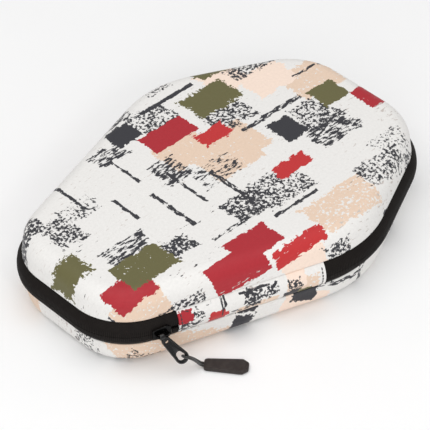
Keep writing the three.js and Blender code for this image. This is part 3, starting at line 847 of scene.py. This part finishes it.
# ---- binding tape over each lining's edge ----
def binding_section(_distance):
    """The tape's section: down the lining, rounded over its edge and out towards the zip."""
    face = RIM_INSET + SHELL_THICKNESS + LINING_THICKNESS + 2 * GAP
    leant = face + LINING_LEAN
    lip = SHELL_RIM_Z + TAPE_THICKNESS + 2 * GAP
    foot = lip - BINDING_HEIGHT
    edge = RIM_INSET + BINDING_SET_BACK
    return [
        (face, lip), (leant, foot), (leant + 0.35, foot - 0.3), (leant + 1, foot),
        (face + LINING_LEAN * 0.6 + 1.05, lip - BINDING_HEIGHT / 2),
        (face + 1.1, lip), (face + 0.8, lip + 0.8), (face, lip + 1),
        (edge + 0.2, lip + 1), (edge, lip + 0.5), (edge + 0.2, lip),
    ]


def make_bindings():
    lower = swept("base_edge_tape", LAP, binding_section, True, 50)
    upper = swept("lid_edge_tape", LAP, mirrored(binding_section), True, 50)
    add_object("base_edge_tape", lower, BINDING, "base", "binding_tape", "base_binding")
    add_object("lid_edge_tape", upper, BINDING, "lid", "binding_tape", "lid_binding")


make_bindings()


# ---- spine strip, its turned hems and their stitches ----
def spine_section(distance):
    """The strip's section, a little thicker over the turned hem at each end."""
    low = SHELL_RIM_Z + GAP
    from_end = min(distance - along(SPINE_START), along(SPINE_END) - distance)
    lift = 0.35 if from_end < HEM - 0.2 else 0.0
    outside = [(inset - lift, z) for inset, z in band_face(low, HEIGHT - low, 16)]
    return outside + band_face(HEIGHT - low, low, 16, SPINE_THICKNESS)


def spine_lining_section(_distance):
    low = SHELL_RIM_Z + 3.8
    face = SPINE_LINING_INSET
    back = face + LINING_THICKNESS
    return [(face, low), (face, HEIGHT - low), (back, HEIGHT - low), (back, low)]


def stitch(points, faces, start, end, out, width):
    """Adds one stitch: a low six-sided bead from start to end, standing out of the cloth."""
    way = (end - start).normalized()
    side = way.cross(out)
    rings = [(0.0, 0.25), (0.2, 0.85), (0.5, 1.0), (0.8, 0.85), (1.0, 0.25)]
    first = len(points)
    for share, size in rings:
        centre = start.lerp(end, share) + out * 0.12 * size
        for k in range(6):
            angle = math.tau * k / 6
            round_bead = side * math.cos(angle) + out * math.sin(angle) * 0.7
            points.append(centre + round_bead * width * size)
    for i in range(len(rings) - 1):
        for k in range(6):
            m = (k + 1) % 6
            here = first + i * 6
            faces.append((here + k, here + m, here + 6 + m, here + 6 + k))
    last = first + (len(rings) - 1) * 6
    faces.append(tuple(first + k for k in reversed(range(6))))
    faces.append(tuple(last + k for k in range(6)))


def spine_stitches():
    """A row of stitches down the strip just inside each hem."""
    points = []
    faces = []
    count = int((HEIGHT - 2 * SHELL_RIM_Z - 1) / STITCH_PITCH)
    for end, inward in ((SPINE_START, 1), (SPINE_END, -1)):
        seam = along(end + inward * (HEM + 0.5))
        x, y, out_x, out_y, _ = places_between(seam, seam + 0.2)[0]
        out = Vector((out_x, out_y, 0))
        for j in range(count):
            foot = SHELL_RIM_Z + 0.8 + j * STITCH_PITCH
            ends = []
            for z in (foot, foot + STITCH_PITCH * 0.78):
                inset = band_inset(z) - 0.1
                ends.append(Vector((x - out_x * inset, y - out_y * inset, z)))
            stitch(points, faces, *ends, out, 0.55)
    return mesh_from("spine_stitches", points, faces)


def make_spine():
    run = places_between(along(SPINE_START), along(SPINE_END), 1.2)
    strip = swept("spine_cloth", run, spine_section, False, 60)
    add_object("spine_cloth", strip, SPINE_CLOTH, "spine", "printed_skin", "spine_strip")
    for corner in strip.uv_layers["cloth"].data:
        corner.uv.x += FIRST_TANGENT
    inner = swept("spine_inside", run, spine_lining_section)
    add_object("spine_inside", inner, LINING, "spine", "lining_cloth", "spine_lining")
    add_object("spine_stitches", spine_stitches(), THREAD, "spine", "cord_yarn")


make_spine()


# ---- inside: handle strap and mesh pocket ----
def panel_mesh(name, xs, columns, half_width_at, height_at, thickness):
    """A thin panel lying across the case, rows along X and columns from side to side."""
    points = []
    for lift in (0, thickness):
        for x in xs:
            for j in range(columns + 1):
                across = 2 * j / columns - 1
                points.append((x, across * half_width_at(x), height_at(x, across) + lift))
    width = columns + 1
    layer = len(xs) * width
    faces = []
    for i in range(len(xs) - 1):
        for j in range(columns):
            a = i * width + j
            faces.append((a, a + 1, a + width + 1, a + width))
            faces.append((a + layer, a + width + layer, a + width + 1 + layer, a + 1 + layer))
    last = (len(xs) - 1) * width
    rim = list(range(columns)) + [i * width + columns for i in range(len(xs) - 1)]
    rim += [last + columns - j for j in range(columns)]
    rim += [last - i * width for i in range(len(xs) - 1)]
    for a, b in zip(rim, rim[1:] + rim[:1]):
        faces.append((a, a + layer, b + layer, b))
    return mesh_from(name, points, faces)


def between(low, high, steps):
    return [low + (high - low) * i / steps for i in range(steps + 1)]


def half_width(x, inset):
    slope = (WIDEST_HALF_WIDTH - HANDLE_HALF_WIDTH) / (WIDEST_X + LENGTH / 2)
    side = HANDLE_HALF_WIDTH + (x + LENGTH / 2) * slope
    return side - inset * math.hypot(1, slope)


def pocket_height(x, across):
    depth = min(max((x - POCKET_FOOT_X) / 60, 0), 1)
    return HEIGHT - FLOOR_Z - GAP - 1.4 - POCKET_BULGE * depth * (1 - across**2)


def make_pocket():
    def band_half(x):
        return half_width(x, POCKET_SIDE_INSET)

    def net_half(x):
        flared = POCKET_FOOT_HALF_WIDTH + (x - POCKET_FOOT_X) * POCKET_FOOT_FLARE
        return min(band_half(x), flared)

    rows = between(POCKET_FOOT_X, POCKET_EDGE_X, 22)
    net = panel_mesh("pocket_net", rows, 28, net_half, pocket_height, POCKET_THICKNESS)
    pocket = add_object("pocket_net", net, NET, "lid", "pocket_mesh", "mesh_pocket")
    band_rows = between(POCKET_EDGE_X + GAP, POCKET_EDGE_X + POCKET_BAND_WIDTH, 6)
    band = panel_mesh("pocket_elastic", band_rows, 28, band_half, pocket_height, ELASTIC_THICKNESS)
    add_object("pocket_elastic", band, ELASTIC, "lid", "elastic", "mesh_pocket_band")


def make_strap():
    """The elastic over the handle, with a cross-stitched square at each end."""
    def strap_half(_x):
        return STRAP_HALF_LENGTH

    def strap_height(_x, across):
        return FLOOR_Z + GAP + STRAP_RISE * (1 - abs(across) ** 3)

    rows = between(*STRAP_X, 8)
    mesh = panel_mesh("strap_elastic", rows, 40, strap_half, strap_height, ELASTIC_THICKNESS)
    add_object("strap_elastic", mesh, ELASTIC, "base", "elastic", "handle_strap")
    points = []
    faces = []
    up = Vector((0, 0, 1))
    for side in (-1, 1):
        corners = [(-81, 33), (-57, 33), (-57, 44), (-81, 44)]
        lines = [(0, 1), (1, 2), (2, 3), (3, 0), (0, 2), (1, 3)]
        for a, b in lines:
            start = Vector((corners[a][0], corners[a][1] * side, 0))
            end = Vector((corners[b][0], corners[b][1] * side, 0))
            count = max(1, round((end - start).length / 3))
            for i in range(count):
                ends = [start.lerp(end, (i + share) / count) for share in (0.1, 0.85)]
                for at in ends:
                    at.z = strap_height(at.x, at.y / STRAP_HALF_LENGTH) + ELASTIC_THICKNESS
                stitch(points, faces, *ends, up, 0.35)
    seams = mesh_from("strap_stitches", points, faces)
    add_object("strap_stitches", seams, PALE_THREAD, "base", "cord_yarn")


make_pocket()
make_strap()


# ---- slider and stops: the CAD's castings with softened edges ----
def finish_castings():
    widths = {"slider_body": 0.35, "slider_bridge": 0.4}
    widths.update({"lower_zip_stop": 0.3, "upper_zip_stop": 0.3, "zip_end_stop": 0.3})
    for node, width in widths.items():
        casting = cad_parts[node]
        casting.data.materials.clear()
        casting.data.materials.append(CASTING)
        bevel = casting.modifiers.new("soft_edges", "BEVEL")
        bevel.width = width * MM
        bevel.segments = 3
        bevel.limit_method = "ANGLE"
        bevel.angle_limit = math.radians(35)


finish_castings()


# ---- pull tab: a raised rim round a thin web, with a window and an open slot ----
def slider_frame():
    """+X along the slider's run, +Y up, +Z outwards, in millimetres."""
    x, y, out_x, out_y, _ = places_between(along(SLIDER_ALONG), along(SLIDER_ALONG) + 1)[0]
    axes = Matrix(((-out_y, out_x, 0), (0, 0, 1), (out_x, out_y, 0))).transposed()
    return Matrix.Translation((x, y, MID_Z)) @ axes.to_4x4()


def tab_frame():
    hung = Matrix.Translation((EYE_ALONG, 0, BAR_OUT))
    return slider_frame() @ hung @ Matrix.Rotation(-TAB_LEAN, 4, "X")


def arc_points(x, y, radius, start, end, steps=16):
    angles = [start + (end - start) * i / steps for i in range(steps + 1)]
    return [(x + radius * math.cos(angle), y + radius * math.sin(angle)) for angle in angles]


def tapered_outline(high, high_radius, low, low_radius):
    """Two circles, one above the other, and the straight lines that touch both."""
    slope = math.asin((low_radius - high_radius) / (high - low))
    top = arc_points(0, high, high_radius, slope, math.pi - slope)
    return top + arc_points(0, low, low_radius, math.pi - slope, math.tau + slope)


def circle(y, radius):
    return arc_points(0, y, radius, 0, math.tau * 15 / 16, 15)


def add_plate(work, outline, holes, thickness, edge, placed):
    """Adds a flat plate with rounded edges to a bmesh; placed carries it to the case."""
    curve = bpy.data.curves.new("plate", "CURVE")
    curve.dimensions = "2D"
    curve.fill_mode = "BOTH"
    curve.extrude = thickness / 2 - edge
    curve.bevel_depth = edge
    curve.bevel_resolution = 3
    curve.offset = -edge
    for ring in [outline] + [list(reversed(hole)) for hole in holes]:
        spline = curve.splines.new("POLY")
        spline.points.add(len(ring) - 1)
        for point, (x, y) in zip(spline.points, ring):
            point.co = (x, y, 0, 1)
        spline.use_cyclic_u = True
    holder = bpy.data.objects.new("plate", curve)
    mesh = bpy.data.meshes.new_from_object(holder)
    mesh.transform(Matrix.Scale(MM, 4) @ placed)
    work.from_mesh(mesh)
    bpy.data.objects.remove(holder)
    bpy.data.meshes.remove(mesh)
    bpy.data.curves.remove(curve)


def make_tab():
    hung = tab_frame()
    blade = hung @ Matrix.Rotation(TAB_SKEW, 4, "Z")
    across = hung @ Matrix.Rotation(math.pi / 2, 4, "Y")
    work = bmesh.new()
    rim = tapered_outline(-4.6, 3.2, -21.2, 4.7)
    add_plate(work, rim, [tapered_outline(-4.8, 1.9, -20.9, 3.3)], TAB_THICKNESS + 0.5, 0.6, blade)
    web = tapered_outline(-4.8, 2.3, -21, 3.7)
    openings = [circle(-5, 1.2), tapered_outline(-18, 2.1, -20.7, 2.6)]
    add_plate(work, web, openings, 1.0, 0.15, blade)
    neck = [(1.2, -1.5), (-1.2, -1.5), (-1.2, -4.6), (1.2, -4.6)]
    add_plate(work, neck, [], TAB_THICKNESS, 0.3, blade)
    add_plate(work, circle(0, EYE_RADIUS), [circle(0, EYE_BORE_RADIUS)], EYE_WIDTH, 0.4, across)
    bmesh.ops.remove_doubles(work, verts=work.verts, dist=2e-6)
    bmesh.ops.recalc_face_normals(work, faces=work.faces)
    mesh = bpy.data.meshes.new("tab")
    work.to_mesh(mesh)
    work.free()
    mesh.shade_smooth()
    mesh.set_sharp_from_angle(angle=math.radians(40))
    add_object("tab_casting", mesh, METAL, "tab", "black_metal", "pull_tab")


make_tab()


# ---- cord loop and grip ----
def grip_place(ahead, across, z):
    turn = Matrix.Rotation(GRIP_ANGLE, 3, "Z")
    return turn @ Vector((ahead, across, z)) + GRIP_START


def make_cord():
    blade = tab_frame() @ Matrix.Rotation(TAB_SKEW, 4, "Z")
    knots = [blade @ Vector(knot) for knot in CORD_KNOTS]
    knots = [grip_place(3, -1.25, 1.7)] + knots + [grip_place(3, 1.25, 1.7)]
    curve = bpy.data.curves.new("cord_loop", "CURVE")
    curve.dimensions = "3D"
    curve.bevel_depth = CORD_RADIUS * MM
    curve.bevel_resolution = 4
    curve.resolution_u = 6
    curve.use_fill_caps = True
    spline = curve.splines.new("BEZIER")
    spline.bezier_points.add(len(knots) - 1)
    for knot, place in zip(spline.bezier_points, knots):
        knot.co = place * MM
        knot.handle_left_type = "AUTO"
        knot.handle_right_type = "AUTO"
    return curve, blade @ Vector((0.8, -21.1, 0)) * MM


def grip_mesh():
    """The rubber grip: narrower towards the cord, with a raised rim round its face."""
    side = [(0, 3.0), (0.5, 4.0), (1.8, 4.7), (25.4, 6.2), (26.3, 6.0), (29.6, 3.4), (30.1, 2.6)]
    outline = side + [(x, -y) for x, y in reversed(side)]
    rings = [
        (0.45, 0.0), (0.1, 0.35), (0, 1.0), (0, 2.4), (0.15, 3.0),
        (0.5, 3.35), (1.1, 3.4), (1.5, 3.2), (1.8, 2.9), (3.0, 2.85),
    ]
    points = []
    for inward, z in rings:
        for x, y in outline:
            towards = Vector((min(max(x, 5), 24) - x, -y)).normalized()
            points.append(grip_place(x + towards.x * inward, y + towards.y * inward, z))
    size = len(outline)
    faces = [tuple(reversed(range(size)))]
    for i in range(len(rings) - 1):
        for j in range(size):
            k = (j + 1) % size
            faces.append((i * size + j, i * size + k, (i + 1) * size + k, (i + 1) * size + j))
    faces.append(tuple((len(rings) - 1) * size + j for j in range(size)))
    return mesh_from("grip", points, faces, None, 40)


def make_pull():
    grip = add_object("grip", grip_mesh(), RUBBER, "pull", "grip_rubber", "pull_grip")
    curve, slot = make_cord()
    loop = add_object("cord_loop", curve, YARN, "pull", "cord_yarn", "pull_cord")


make_pull()
